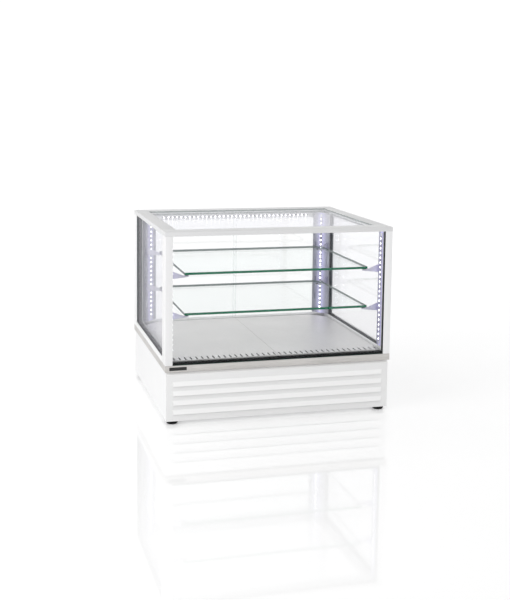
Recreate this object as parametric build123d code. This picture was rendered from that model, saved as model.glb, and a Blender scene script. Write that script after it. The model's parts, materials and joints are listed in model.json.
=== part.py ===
from build123d import *
import math
import os

# Counter-top heated food display case.
# Millimetres. X to the right, Y to the back, Z up. The front faces -Y.
# Origin: centre of the footprint, on the table.

# ---- driving sizes ----
WIDTH = 785.0            # stainless band and glass case
DEPTH = 650.0
HEIGHT = 640.0
FOOT_H = 12.0            # visible height of the feet
BAND_BOTTOM = 178.0
BAND_TOP = 200.0
BASE_INSET = 4.5         # the base stands back from the band
SHEET = 1.5              # base and band sheet metal
POST_X, POST_Y = 25.0, 55.0
RAIL_H = 15.0            # top frame rails
FRONT_RAIL_D = 70.0
REAR_RAIL_D = 70.0
SIDE_RAIL_W = 54.0
SILL_H = 19.0            # rails under the side glass
PANE = 4.0
AIR_GAP = 12.0           # between the panes of the front and side units
TOP_GAP = 4.0
GRIP = 9.0               # how far a glass unit reaches into the frame
LIP = 2.0                # frame lip outside the glass
SPACER = 8.0
FIT = 0.4                # clearance of a glass unit in its groove
GAP = 0.4                # between a moving piece and its neighbour

HX, HY = WIDTH / 2, DEPTH / 2
BX, BY = HX - BASE_INSET, HY - BASE_INSET
INNER_X = HX - POST_X                    # clear half width between the posts
POST_IN_Y = HY - POST_Y
UNIT = 2 * PANE + AIR_GAP                # thickness of a front or side unit
RAIL_Z = HEIGHT - RAIL_H
GLASS_TOP = RAIL_Z + GRIP

# deck
DECK_TOP = 211.0
DECK_SHEET = 1.2
DECK_FRONT = -HY + LIP + UNIT + FIT + 0.6
DECK_REAR = HY - 32.0
DECK_SLOTS = 19                          # slots in each plate
DECK_PITCH = (INNER_X - 2.7) / DECK_SLOTS
DECK_NOTCH_X, DECK_NOTCH_Y = 4.0, 38.0   # clears the front uprights
DECK_SLOT_L, DECK_SLOT_W = 36.0, 5.0
DECK_SLOT_Y = DECK_FRONT + 21.0

# shelves and uprights
SHELF_W = 2 * (INNER_X - 47.5)
SHELF_D, SHELF_T = DEPTH - 150.0, 8.0
SHELF_Y = -33.0
SHELF_CHAMFER = 30.0
SHELF_Z = (356.0, 491.0)                 # undersides
SHELF_REACH = 15.0                       # a bracket's reach under the glass
RACK_T = 1.5
RACK_BOTTOM, RACK_TOP = BAND_TOP + SILL_H + 3, RAIL_Z - 4
SLOT_PITCH, SLOT_H, SLOT_W = 67.5, 25.0, 4.0
SLOT_FIRST = SHELF_Z[0] - 13.0 - SLOT_PITCH
SLOT_COUNT = 5
REAR_LEG = 52.0
LED_W, LED_T = 8.0, 2.4

# doors
TRACK_Y = HY - 26.0
TRACK_BOTTOM_H, TRACK_TOP_H = 14.0, 24.0
DOOR_T = 4.0
GROOVE = 5.0
DOOR_Y = (TRACK_Y + 7.5, TRACK_Y + 18.5)  # centres of the inner and the outer groove
DOOR_OVERLAP = 14.0
DOOR_Z0 = BAND_TOP + 3.0 + GAP
DOOR_Z1 = RAIL_Z - 8.0

# louvres
LOUVRE_TOPS = (144.9, 113.4, 81.9, 50.4)
LOUVRE_H, LOUVRE_OUT, LOUVRE_MARGIN = 16.0, 5.0, 21.5
BEVEL = 9.5

# fan and heater
FAN_X, FAN_Y, FAN_R = 0.0, HY - 240.0, 62.0
PLENUM_Z0 = 120.0


def box(x0, x1, y0, y1, z0, z1):
    """Solid between the given planes."""
    size = (x1 - x0, y1 - y0, z1 - z0)
    centre = ((x0 + x1) / 2, (y0 + y1) / 2, (z0 + z1) / 2)
    return Pos(*centre) * Box(*size)


def prism_x(points, x0, x1):
    """Outline in (y, z), extruded from x0 to x1."""
    plane = Plane((x0, 0, 0), x_dir=(0, 1, 0), z_dir=(1, 0, 0))
    return extrude(plane * make_face(Polyline(*points, close=True)), x1 - x0)


def prism_z(points, z0, z1):
    """Outline in (x, y), extruded from z0 to z1."""
    return extrude(Plane((0, 0, z0)) * make_face(Polyline(*points, close=True)), z1 - z0)


def rod(x, y, z0, z1, r):
    """Upright round bar."""
    return Pos(x, y, (z0 + z1) / 2) * Cylinder(r, z1 - z0)


def rod_y(x, z, y0, y1, r):
    """Round bar along Y."""
    return Pos(x, (y0 + y1) / 2, z) * Rot(90, 0, 0) * Cylinder(r, y1 - y0)


def mirror_x(shape):
    return mirror(shape, about=Plane.YZ)


def save(name, *solids):
    """Write one node; several solids become one group."""
    shape = solids[0] if len(solids) == 1 else Compound(children=list(solids))
    export_step(shape, f"parts/{name}.step")


# ---------------- base ----------------

FOOT_X, FOOT_Y, FOOT_R = BX - 24.0, BY - 23.5, 19.0
STUD_R = 4.0


def foot_places():
    return [(x, y) for x in (-FOOT_X, FOOT_X) for y in (-FOOT_Y, FOOT_Y)]


def foot(x, y):
    body = rod(x, y, 0, FOOT_H, FOOT_R)
    body = fillet(body.edges().group_by(Axis.Z)[0], 5.0)
    return body - rod(x, y, 5.0, FOOT_H, STUD_R + 0.1) - rod(x, y, 0, 5.1, 6.5)


def foot_stud(x, y):
    shank = rod(x, y, 5.1, FOOT_H + SHEET + 6, STUD_R)
    head = Pos(x, y, 3.4) * Cylinder(6.2, 3.4)
    nut = extrude(Plane((x, y, FOOT_H + SHEET)) * RegularPolygon(7.5, 6), 5.0)
    return shank + head + nut


def base_pan():
    pan = box(-BX, BX, -BY + SHEET, BY - SHEET, FOOT_H, FOOT_H + SHEET)
    for x, y in foot_places():
        pan -= rod(x, y, 0, 30, STUD_R + 0.2)
    for row in range(8):
        y = -70 + row * 20
        for x in (-210, 0, 210):
            pan -= Pos(x, y, FOOT_H) * Box(120, 6, 10)
    return pan


def side_panel():
    """Right-hand side; the wall follows the bevel at the front top corner."""
    z0 = FOOT_H + SHEET
    front, rear = -BY + SHEET, BY - SHEET
    bevel_z = BAND_BOTTOM - BEVEL - SHEET - 1
    bevel_y = front + BEVEL + 1
    outline = [(front, z0), (rear, z0), (rear, BAND_BOTTOM), (bevel_y, BAND_BOTTOM), (front, bevel_z)]
    wall = prism_x(outline, BX - SHEET, BX)
    flange = 20.0
    wall += box(BX - flange, BX, front, front + SHEET, z0, bevel_z)
    wall += box(BX - flange, BX, rear - SHEET, rear, z0, BAND_BOTTOM)
    wall += box(BX - flange, BX, front, rear, BAND_BOTTOM - SHEET, BAND_BOTTOM) & box(
        0, BX, bevel_y, rear, 0, BAND_BOTTOM)
    foot_relief = box(BX - flange - 1, BX - SHEET - 8, front + SHEET + 1, rear - SHEET - 1, z0, z0 + SHEET)
    return wall + box(BX - 8, BX, front, rear, z0, z0 + SHEET) - foot_relief


def louvre(top):
    """Pressed-out blind: slopes outwards as it goes down, open underneath, with splayed ends."""
    y0 = -BY
    half = BX - LOUVRE_MARGIN
    low = top - LOUVRE_H
    out = LOUVRE_OUT
    wedge = prism_x([(y0 + SHEET, top), (y0, top), (y0 - out, low + 1.5), (y0 - out, low),
                     (y0 + SHEET, low)], -half, half)
    plan = [(-half, y0 + SHEET), (-half, y0), (-half + out, y0 - out), (half - out, y0 - out), (half, y0),
            (half, y0 + SHEET)]
    return wedge & prism_z(plan, low - 1, top + 1)


def louvre_hollow(top):
    """Inside of the blind, one sheet thickness smaller, open to the back and below."""
    y0 = -BY + SHEET
    half = BX - LOUVRE_MARGIN - SHEET
    low = top - LOUVRE_H
    out = LOUVRE_OUT
    wedge = prism_x([(y0 + 1, top - 1.2), (y0, top - 1.2), (y0 - out, low + 1), (y0 - out, low - 1),
                     (y0 + 1, low - 1)], -half, half)
    plan = [(-half, y0 + 1), (-half, y0), (-half + out, y0 - out), (half - out, y0 - out), (half, y0),
            (half, y0 + 1)]
    return wedge & prism_z(plan, low - 2, top + 1)


def front_louvre_panel():
    y0, t = -BY, SHEET
    z_top = BAND_BOTTOM - 0.5
    z_bend = z_top - BEVEL
    fold = t * (math.sqrt(2) - 1)
    back = y0 + BEVEL + 16
    panel = prism_x([
        (y0, FOOT_H), (y0, z_bend), (y0 + BEVEL, z_top), (back, z_top), (back, z_top - t),
        (y0 + BEVEL + fold, z_top - t), (y0 + t, z_bend - fold), (y0 + t, FOOT_H)], -BX, BX)
    panel -= box(BX - 20.5, BX + 1, y0 + BEVEL, 0, z_top - t - 1, z_top + 1)
    panel -= box(-BX - 1, -BX + 20.5, y0 + BEVEL, 0, z_top - t - 1, z_top + 1)
    for top in LOUVRE_TOPS:
        panel += louvre(top)
    for top in LOUVRE_TOPS:
        panel -= louvre_hollow(top)
    return panel


def rear_screw_places():
    return [(x, z) for x in (-BX + 10, BX - 10) for z in (30.0, 95.0, 160.0)]


def panel_screw(x, z):
    """Pan-head screw through the rear panel into the flange behind it."""
    head = rod_y(x, z, BY, BY + 1.8, 3.2)
    slot = Pos(x, BY + 1.6, z) * Box(5.0, 1.0, 0.8)
    return head + rod_y(x, z, BY - 6, BY, 1.4) - slot


# rear controls, seen from behind: the controls sit left of the middle
CTRL_X, CTRL_Z, CTRL_W, CTRL_H = 250.0, 95.0, 71.0, 29.0
ROCKER_X = {"power": 175.0, "light": 145.0}
ROCKER_W, ROCKER_H = 19.0, 21.0
GLAND_X, GLAND_Z, GLAND_R = -300.0, 60.0, 8.0
CORD_R = 4.5


def rear_panel():
    y1 = BY
    panel = box(-BX, BX, y1 - SHEET, y1, FOOT_H, BAND_BOTTOM)
    panel -= Pos(CTRL_X, y1, CTRL_Z) * Box(CTRL_W, 10, CTRL_H)
    for x in ROCKER_X.values():
        panel -= Pos(x, y1, CTRL_Z) * Box(ROCKER_W + 0.2, 10, ROCKER_H + 0.2)
    panel -= rod_y(GLAND_X, GLAND_Z, y1 - 5, y1 + 5, GLAND_R + 0.2)
    for row in range(6):
        panel -= Pos(-60, y1, 60 + row * 15) * Box(180, 10, 5)
    for x, z in rear_screw_places():
        panel -= rod_y(x, z, y1 - 5, y1 + 5, 1.7)
    return panel


def side_panel_with_holes():
    panel = side_panel()
    for x, z in rear_screw_places():
        if x > 0:
            panel -= rod_y(x, z, BY - 5, BY, 1.5)
    return panel


# ---------------- worktop and deck ----------------

OPEN_X = INNER_X - 22.5
OPEN_FRONT, OPEN_REAR = DECK_FRONT + 10.0, DECK_REAR - 31.0


def worktop_band():
    band = box(-HX, HX, -HY, HY, BAND_BOTTOM, BAND_TOP)
    band = fillet(band.edges().filter_by(Axis.Z), 1.0)
    band -= box(-HX + SHEET, HX - SHEET, -HY + SHEET, HY - SHEET, BAND_BOTTOM - 1, BAND_TOP - SHEET)
    band -= box(-OPEN_X, OPEN_X, OPEN_FRONT, OPEN_REAR, BAND_BOTTOM, BAND_TOP + 1)
    lip = SHEET
    skirt = box(-BX, BX, -BY + BEVEL + 1, BY, BAND_BOTTOM, BAND_BOTTOM + lip)
    skirt -= box(-BX + 24, BX - 24, -BY + 24, BY - 24, 0, HEIGHT)
    ties = box(-HX + 1, HX - 1, -HY + 1, HY - 1, BAND_BOTTOM, BAND_BOTTOM + lip) - box(
        -BX, BX, -BY + BEVEL + 1, BY, 0, HEIGHT)
    return band + skirt + ties


def nameplate():
    plate = box(-378.5, -320.5, -HY - 1.0, -HY, 183.5, 194.5)
    return fillet(plate.edges().filter_by(Axis.Y), 1.5)


def deck_plate(side):
    """Inverted tray with a row of air slots along its front; side is -1 or 1."""
    inner, outer = 0.5, INNER_X - RACK_T - 1.0
    z0 = BAND_TOP + GAP
    plate = box(inner, outer, DECK_FRONT, DECK_REAR, z0, DECK_TOP)
    corner = prism_z([(outer + 1, DECK_REAR - REAR_LEG - 8), (outer + 1, DECK_REAR + 1),
                      (outer - REAR_LEG - 8, DECK_REAR + 1)], 0, HEIGHT)
    notch = box(outer - DECK_NOTCH_X, outer + 1, DECK_FRONT - 1, DECK_FRONT + DECK_NOTCH_Y, 0, HEIGHT)
    plate = plate - corner - notch - deck_hollow(inner, outer, z0)
    slot = extrude(SlotOverall(DECK_SLOT_L, DECK_SLOT_W, rotation=90), 2 * DECK_SHEET)
    for i in range(DECK_SLOTS):
        x = (i + 0.5) * DECK_PITCH
        plate -= Pos(x, DECK_SLOT_Y, DECK_TOP - 1.5 * DECK_SHEET) * slot
    return plate if side > 0 else mirror_x(plate)


def deck_hollow(inner, outer, z0):
    """Hollow under a deck plate, one sheet thickness inside its outline."""
    s = DECK_SHEET
    cut = REAR_LEG + 8
    notch_x, notch_y = outer - DECK_NOTCH_X - s, DECK_FRONT + DECK_NOTCH_Y + s
    return prism_z([
        (inner + s, DECK_FRONT + s), (notch_x, DECK_FRONT + s), (notch_x, notch_y), (outer - s, notch_y),
        (outer - s, DECK_REAR - cut - s), (outer - cut - s, DECK_REAR - s), (inner + s, DECK_REAR - s)],
        z0 - 1, DECK_TOP - s)


# ---------------- white frame ----------------

def front_groove_y():
    return -HY + LIP, -HY + LIP + UNIT + FIT


def side_groove_x():
    return HX - LIP - UNIT - FIT, HX - LIP


def front_post():
    """Right front post: extrusion with a groove for the front unit and one for the side unit."""
    post = box(INNER_X, HX, -HY, -POST_IN_Y, BAND_TOP, RAIL_Z)
    post = fillet(post.edges().filter_by(Axis.Z).sort_by(lambda e: e.center().Y - e.center().X)[0], 2.0)
    gy0, gy1 = front_groove_y()
    gx0, gx1 = side_groove_x()
    post -= box(INNER_X - 1, INNER_X + GRIP, gy0, gy1, 0, HEIGHT)
    post -= box(gx0, gx1, -POST_IN_Y - GRIP, -POST_IN_Y + 1, 0, HEIGHT)
    post -= box(INNER_X + 3, HX - 3, gy1 + 2.5, -POST_IN_Y - GRIP - 2.5, 0, HEIGHT)
    return post


def rear_post():
    """Right rear post: one groove for the side unit; the doors close against its plain inner face."""
    post = box(INNER_X, HX, POST_IN_Y, HY, BAND_TOP, RAIL_Z)
    post = fillet(post.edges().filter_by(Axis.Z).sort_by(lambda e: -e.center().Y - e.center().X)[0], 2.0)
    gx0, gx1 = side_groove_x()
    post -= box(gx0, gx1, POST_IN_Y - 1, POST_IN_Y + GRIP, 0, HEIGHT)
    post -= box(INNER_X + 3, HX - 3, POST_IN_Y + GRIP + 2.5, HY - 3, 0, HEIGHT)
    return post


def bottom_rail():
    """Rail under the right side glass."""
    rail = box(INNER_X, HX, -POST_IN_Y, POST_IN_Y, BAND_TOP, BAND_TOP + SILL_H)
    gx0, gx1 = side_groove_x()
    return rail - box(gx0, gx1, -HY, HY, BAND_TOP + SILL_H - GRIP, HEIGHT)


def top_unit_box(extra):
    """Outline of the top glass unit, grown by extra."""
    x = HX - SIDE_RAIL_W + GRIP + extra
    return (-x, x, -HY + FRONT_RAIL_D - GRIP - extra, HY - REAR_RAIL_D + GRIP + extra)


def top_rails():
    """Front, rear and right-hand top rails, grooved for the glass and rebated for the top unit."""
    frame = box(-HX, HX, -HY, HY, RAIL_Z, HEIGHT)
    frame = chamfer(frame.edges().group_by(Axis.Z)[-1], 0.8)
    x = HX - SIDE_RAIL_W
    frame -= box(-x, x, -HY + FRONT_RAIL_D, HY - REAR_RAIL_D, 0, HEIGHT + 1)
    frame -= box(*top_unit_box(FIT / 2), RAIL_Z + LIP, HEIGHT + 1)
    gy0, gy1 = front_groove_y()
    gx0, gx1 = side_groove_x()
    frame -= box(-INNER_X - GRIP, INNER_X + GRIP, gy0, gy1, RAIL_Z - 1, GLASS_TOP)
    for s in (-1, 1):
        a, b = sorted((s * gx0, s * gx1))
        frame -= box(a, b, -POST_IN_Y - GRIP, POST_IN_Y + GRIP, RAIL_Z - 1, GLASS_TOP)
    front = frame & box(-HX, HX, -HY, -HY + FRONT_RAIL_D, RAIL_Z, HEIGHT)
    rear = frame & box(-HX, HX, HY - REAR_RAIL_D, HY, RAIL_Z, HEIGHT)
    right = frame & box(0, HX, -HY + FRONT_RAIL_D, HY - REAR_RAIL_D, RAIL_Z, HEIGHT)
    return front, rear, right


# ---------------- glazing ----------------

def ring(x0, x1, z0, z1, y0, y1):
    """Rectangular spacer frame standing in the XZ plane."""
    s = SPACER
    return box(x0, x1, y0, y1, z0, z1) - box(x0 + s, x1 - s, y0 - 1, y1 + 1, z0 + s, z1 - s)


def front_unit():
    """Outer pane, inner pane and spacer of the front glass."""
    x = INNER_X + GRIP - FIT
    z0, z1 = BAND_TOP + 0.5, GLASS_TOP - FIT
    y0 = -HY + LIP + FIT / 2
    outer = box(-x, x, y0, y0 + PANE, z0, z1)
    inner = box(-x, x, y0 + PANE + AIR_GAP, y0 + UNIT, z0, z1)
    spacer = ring(-x, x, z0, z1, y0 + PANE, y0 + PANE + AIR_GAP)
    return outer, inner, spacer


def side_unit():
    """Outer pane, inner pane and spacer of the right side glass."""
    y = POST_IN_Y + GRIP - FIT
    z0, z1 = BAND_TOP + SILL_H - GRIP + FIT, GLASS_TOP - FIT
    x1 = HX - LIP - FIT / 2
    outer = box(x1 - PANE, x1, -y, y, z0, z1)
    inner = box(x1 - UNIT, x1 - PANE - AIR_GAP, -y, y, z0, z1)
    s = SPACER
    spacer = box(x1 - PANE - AIR_GAP, x1 - PANE, -y, y, z0, z1)
    spacer -= box(x1 - UNIT, x1, -y + s, y - s, z0 + s, z1 - s)
    return outer, inner, spacer


def top_unit():
    """Outer pane, inner pane and spacer of the top glass."""
    x0, x1, y0, y1 = top_unit_box(-FIT / 2)
    z = RAIL_Z + LIP + FIT / 2
    inner = box(x0, x1, y0, y1, z, z + PANE)
    outer = box(x0, x1, y0, y1, z + PANE + TOP_GAP, z + 2 * PANE + TOP_GAP)
    s = SPACER
    spacer = box(x0, x1, y0, y1, z + PANE, z + PANE + TOP_GAP)
    spacer -= box(x0 + s, x1 - s, y0 + s, y1 - s, 0, HEIGHT)
    return outer, inner, spacer


# ---------------- rear doors ----------------

def door_track(z0, z1, groove_z0, groove_z1):
    """Extruded track with an inner and an outer groove."""
    track = box(-INNER_X, INNER_X, TRACK_Y, HY - 0.5, z0, z1)
    for y in DOOR_Y:
        track -= box(-HX, HX, y - GROOVE / 2, y + GROOVE / 2, groove_z0, groove_z1)
    return track


def sliding_door(side):
    """Glass door; the right one runs in the inner groove, the left one in the outer groove."""
    y = DOOR_Y[0] if side > 0 else DOOR_Y[1]
    x0, x1 = -DOOR_OVERLAP / 2, INNER_X - 1.0
    door = box(x0, x1, y - DOOR_T / 2, y + DOOR_T / 2, DOOR_Z0, DOOR_Z1)
    door = chamfer(door.edges().filter_by(Axis.Y), 2.0)
    return door if side > 0 else mirror_x(door)


PULL_H, PULL_T, PULL_W = 110.0, 1.6, 14.0


def door_pull(side):
    """Slim angled finger strip bonded to the outside of a door, near its closing edge."""
    y = (DOOR_Y[0] if side > 0 else DOOR_Y[1]) + DOOR_T / 2
    x1 = INNER_X - 30.0
    z = (DOOR_Z0 + DOOR_Z1) / 2
    reach = 3.4 if side > 0 else 5.0
    base = box(x1 - PULL_W, x1, y, y + PULL_T, z - PULL_H / 2, z + PULL_H / 2)
    fin = box(x1 - PULL_W, x1 - PULL_W + PULL_T, y, y + reach, z - PULL_H / 2, z + PULL_H / 2)
    pull = base + fin
    return pull if side > 0 else mirror_x(pull)


# ---------------- uprights, light and shelves ----------------

def slot_heights():
    return [SLOT_FIRST + i * SLOT_PITCH for i in range(SLOT_COUNT)]


REAR_SLOT = 24.0         # slot columns either side of the middle of a rear upright


def front_slot_y():
    """Front edge of the slot column in a front upright."""
    return -POST_IN_Y + 3.0 - 8.0


def front_rack():
    """Right front upright: a slotted strip on the inner face of the post."""
    y0, y1 = -HY + LIP + UNIT + 1.5, -POST_IN_Y + 3.0
    rack = box(INNER_X - RACK_T, INNER_X, y0, y1, RACK_BOTTOM, RACK_TOP)
    for z in slot_heights():
        y = front_slot_y()
        rack -= box(INNER_X - 5, INNER_X + 1, y, y + SLOT_W, z, z + SLOT_H)
    return rack


def rear_corner():
    """Ends of the 45 degree face of the right rear upright, at the glass and at the doors."""
    x_glass = INNER_X
    y_door = TRACK_Y - 3.0
    return (x_glass, y_door - REAR_LEG), (x_glass - REAR_LEG, y_door)


def on_rear_face(along, z):
    """Place on the back of the 45 degree face: x points into the case's corner, y runs along it."""
    (xa, ya), (xb, yb) = rear_corner()
    d = math.sqrt(0.5)
    return Pos((xa + xb) / 2 + along * d, (ya + yb) / 2 - along * d, z) * Rot(0, 0, 45)


def rear_rack():
    """Right rear upright: 45 degree face with two slot columns, folded back at both edges."""
    half = REAR_LEG * math.sqrt(0.5)
    height = RACK_TOP - RACK_BOTTOM
    mid = (RACK_TOP + RACK_BOTTOM) / 2
    rack = on_rear_face(0, mid) * Pos(-RACK_T / 2, 0, 0) * Box(RACK_T, 2 * half - 1, height)
    (xa, ya), (xb, yb) = rear_corner()
    rack += box(xa - RACK_T, xa, ya + 0.6, ya + 36, RACK_BOTTOM, RACK_TOP)
    rack += box(xb + 0.6, xb + 14, yb - RACK_T, yb, RACK_BOTTOM, RACK_TOP)
    for z in slot_heights():
        for along in (-REAR_SLOT, REAR_SLOT):
            rack -= on_rear_face(along, z + SLOT_H / 2) * Box(6, SLOT_W, SLOT_H)
    return rack


def led_strips():
    """Four upright light strips and one along the rear top; channel and diffuser in one bar."""
    z0, z1 = RACK_BOTTOM + 6, RACK_TOP - 6
    front_y = -HY + LIP + UNIT + 1.5 + LED_W / 2 + 4.0
    x = INNER_X - RACK_T
    front = box(x - LED_T, x, front_y - LED_W / 2, front_y + LED_W / 2, z0, z1)
    rear = on_rear_face(0, (z0 + z1) / 2) * Pos(-RACK_T - LED_T / 2, 0, 0) * Box(LED_T, LED_W, z1 - z0)
    top = box(-300, 300, TRACK_Y - LED_T, TRACK_Y, RAIL_Z - 17, RAIL_Z - 9)
    return front, mirror_x(front), rear, mirror_x(rear), top


BRACKET_T = 3.0
PAD_T = 2.0


def bracket(length):
    """Wedge bracket along -X from its root at the origin; z = 0 is the underside of the glass."""
    under = -PAD_T - GAP
    plane = Plane((0, BRACKET_T / 2, 0), x_dir=(1, 0, 0), z_dir=(0, -1, 0))
    points = [(0, -14), (0, 13), (-3, 13), (-(length - SHELF_REACH - 4), under), (-length, under),
              (-length, under - 5)]
    body = extrude(plane * make_face(Polyline(*points, close=True)), BRACKET_T)
    seat = box(-length, -length + SHELF_REACH - 2, -4.5, 4.5, under - 1.2, under)
    tab = box(-1, RACK_T - 0.2, -BRACKET_T / 2, BRACKET_T / 2, -11.5, 10.5)
    return body + seat + tab


def bracket_pad(length):
    """Soft pad on the seat of a bracket, under the glass."""
    x0 = -length + 1.0
    return box(x0, x0 + SHELF_REACH - 4, -4.0, 4.0, -PAD_T - GAP, -GAP)


def bracket_places():
    """Length and place of the right-hand front and rear brackets."""
    front_y = front_slot_y() + SLOT_W / 2
    front_len = INNER_X - RACK_T - SHELF_W / 2 + SHELF_REACH
    rear = on_rear_face(REAR_SLOT, 0)
    chamfer_sum = SHELF_W / 2 + SHELF_D / 2 + SHELF_Y - SHELF_CHAMFER
    face_sum = rear.position.X + rear.position.Y
    rear_len = (face_sum - chamfer_sum) * math.sqrt(0.5) - RACK_T + SHELF_REACH
    turn = Rot(0, 0, 45)
    root = Pos(-RACK_T * math.sqrt(0.5), -RACK_T * math.sqrt(0.5), 0)
    return [(front_len, Pos(INNER_X - RACK_T, front_y, 0)),
            (rear_len, root * Pos(rear.position.X, rear.position.Y, 0) * turn)]


def on_brackets(make):
    """One piece per bracket: front and rear, right and left, under both shelves."""
    out = []
    for z in SHELF_Z:
        for length, place in bracket_places():
            piece = Pos(0, 0, z) * place * make(length)
            out += [piece, mirror_x(piece)]
    return out


def glass_shelf(z):
    shelf = box(-SHELF_W / 2, SHELF_W / 2, SHELF_Y - SHELF_D / 2, SHELF_Y + SHELF_D / 2, z, z + SHELF_T)
    rear_corners = shelf.edges().filter_by(Axis.Z).group_by(Axis.Y)[-1]
    return chamfer(rear_corners, SHELF_CHAMFER)


# ---------------- heating and air ----------------

PLENUM_X = OPEN_X + 7.0
PLENUM_FRONT, PLENUM_REAR = OPEN_FRONT - 6.0, OPEN_REAR + 6.0
ELEMENT_Z, ELEMENT_R = PLENUM_Z0 + 22, 4.2
ELEMENT_FRONT, ELEMENT_REAR = OPEN_FRONT + 52.0, FAN_Y - FAN_R - 17.0
MOTOR_R, MOTOR_H = 40.0, 52.0
SHAFT_R = 4.0


def plenum_wall_side(z0, z1, s):
    """Right-hand wall of the tray with the flange that hangs it under the worktop."""
    wall = box(OPEN_X - s, OPEN_X, OPEN_FRONT, OPEN_REAR, z0, z1)
    return wall + box(OPEN_X, PLENUM_X, PLENUM_FRONT, PLENUM_REAR, z1 - s, z1)


def plenum_wall_across(y0, y1, flange_y0, flange_y1, z0, z1, s):
    """Front or rear wall of the tray between the side walls, with its flange."""
    wall = box(-OPEN_X + s, OPEN_X - s, y0, y1, z0, z1)
    return wall + box(-OPEN_X, OPEN_X, flange_y0, flange_y1, z1 - s, z1)


def air_plenum_tray():
    """Sheet tray under the opening of the worktop, spot-welded from a floor and four walls."""
    z1 = BAND_TOP - SHEET
    s = 1.2
    floor = box(-OPEN_X, OPEN_X, OPEN_FRONT, OPEN_REAR, PLENUM_Z0, PLENUM_Z0 + s)
    floor -= rod(FAN_X, FAN_Y, 0, HEIGHT, SHAFT_R + 3)
    for x in (-200.0, 0.0, 200.0):
        floor += box(x - 1, x + 1, ELEMENT_FRONT - 6, ELEMENT_REAR + 6, PLENUM_Z0, ELEMENT_Z - ELEMENT_R)
    z0 = PLENUM_Z0 + s
    right = plenum_wall_side(z0, z1, s)
    front = plenum_wall_across(OPEN_FRONT, OPEN_FRONT + s, PLENUM_FRONT, OPEN_FRONT, z0, z1, s)
    rear = plenum_wall_across(OPEN_REAR - s, OPEN_REAR, OPEN_REAR, PLENUM_REAR, z0, z1, s)
    return [floor, right, mirror_x(right), front, rear]


def heating_element():
    """Sheathed tube bent into a serpentine, with two terminals through the tray's left wall."""
    z, r = ELEMENT_Z, ELEMENT_R
    turns, x_end = 3, OPEN_X - 55.0
    pitch = (ELEMENT_REAR - ELEMENT_FRONT) / (2 * turns - 1)
    points = [(-OPEN_X + 4, ELEMENT_FRONT, z)]
    for i in range(turns):
        y = ELEMENT_FRONT + 2 * i * pitch
        points += [(x_end, y, z), (x_end, y + pitch, z)]
        if i < turns - 1:
            points += [(-x_end, y + pitch, z), (-x_end, y + 2 * pitch, z)]
    points.append((-OPEN_X + 4, ELEMENT_REAR, z))
    path = FilletPolyline(*points, radius=20.0)
    start = Plane(points[0], z_dir=(1, 0, 0))
    return sweep(start * Circle(r), path=path)


def fan_housing():
    """Motor under the tray on a square plate; its top takes the rotor's shaft."""
    top = PLENUM_Z0
    plate = Pos(FAN_X, FAN_Y, top - 1) * Box(130, 130, 2)
    motor = rod(FAN_X, FAN_Y, top - MOTOR_H, top - 1, MOTOR_R)
    for i in range(3):
        motor -= Pos(FAN_X, FAN_Y, top - 14 - i * 12) * (Cylinder(MOTOR_R + 1, 4) - Cylinder(MOTOR_R - 3, 4))
    return plate + motor - rod(FAN_X, FAN_Y, top - 30, top + 1, SHAFT_R + 0.05)


def fan_rotor():
    """Radial impeller on its shaft."""
    z0, z1 = PLENUM_Z0 + 8, PLENUM_Z0 + 44
    disc = rod(FAN_X, FAN_Y, z0, z0 + 2, FAN_R)
    hub = rod(FAN_X, FAN_Y, z0, z0 + 16, 12)
    shaft = rod(FAN_X, FAN_Y, PLENUM_Z0 - 29, z0 + 16, SHAFT_R)
    rotor = disc + hub + shaft
    for i in range(12):
        blade = Pos(FAN_R - 12, 0, (z0 + z1) / 2 + 1) * Rot(0, 0, 35) * Box(22, 1.5, z1 - z0 - 2)
        rotor += Pos(FAN_X, FAN_Y, 0) * Rot(0, 0, i * 30) * blade
    rim = rod(FAN_X, FAN_Y, z1 - 1.5, z1, FAN_R) - rod(FAN_X, FAN_Y, z1 - 3, z1 + 1, FAN_R - 14)
    return rotor + rim


def safety_thermostat():
    """Cut-out button on the underside of the tray."""
    body = rod(150, -100, PLENUM_Z0 - 12, PLENUM_Z0, 9)
    ears = Pos(150, -100, PLENUM_Z0 - 0.8) * Box(34, 8, 1.6)
    pins = box(143, 145, -103, -97, PLENUM_Z0 - 22, PLENUM_Z0 - 12)
    return body + ears + pins + box(155, 157, -103, -97, PLENUM_Z0 - 22, PLENUM_Z0 - 12)


def led_driver():
    body = fillet(box(-330, -190, 120, 170, FOOT_H + SHEET, FOOT_H + SHEET + 28).edges().group_by(Axis.Z)[-1], 3)
    return body + box(-340, -180, 132, 158, FOOT_H + SHEET, FOOT_H + SHEET + 3)


def terminal_block():
    z0 = FOOT_H + SHEET
    block = box(-330, -262, 210, 232, z0, z0 + 18)
    for i in range(6):
        block -= rod(-324 + i * 11.2, 216, z0 + 8, z0 + 19, 2.6)
        block -= rod(-324 + i * 11.2, 226, z0 + 8, z0 + 19, 2.6)
    return block


# ---------------- rear controls ----------------

BUTTON_W, BUTTON_H, BUTTON_TRAVEL = 7.0, 5.0, 1.0


def thermostat_controller():
    """Digital controller: body through the panel, bezel outside, window and three button wells."""
    y = BY
    body = Pos(CTRL_X, y - 28, CTRL_Z) * Box(CTRL_W - 0.6, 56, CTRL_H - 0.6)
    bezel = Pos(CTRL_X, y + 2.5, CTRL_Z) * Box(78, 5, 36)
    bezel = fillet(bezel.edges().filter_by(Axis.Y), 3)
    ctrl = body + bezel
    ctrl -= Pos(CTRL_X - 6, y + 5, CTRL_Z + 2) * Box(26, 1.6, 18)
    for dx, dz in button_places():
        ctrl -= Pos(CTRL_X + dx, y + 3, CTRL_Z + dz) * Box(BUTTON_W + 0.8, 8, BUTTON_H + 0.8)
    return ctrl


def button_places():
    return [(-27.0, 0.0), (24.0, 8.0), (24.0, -8.0)]


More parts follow.
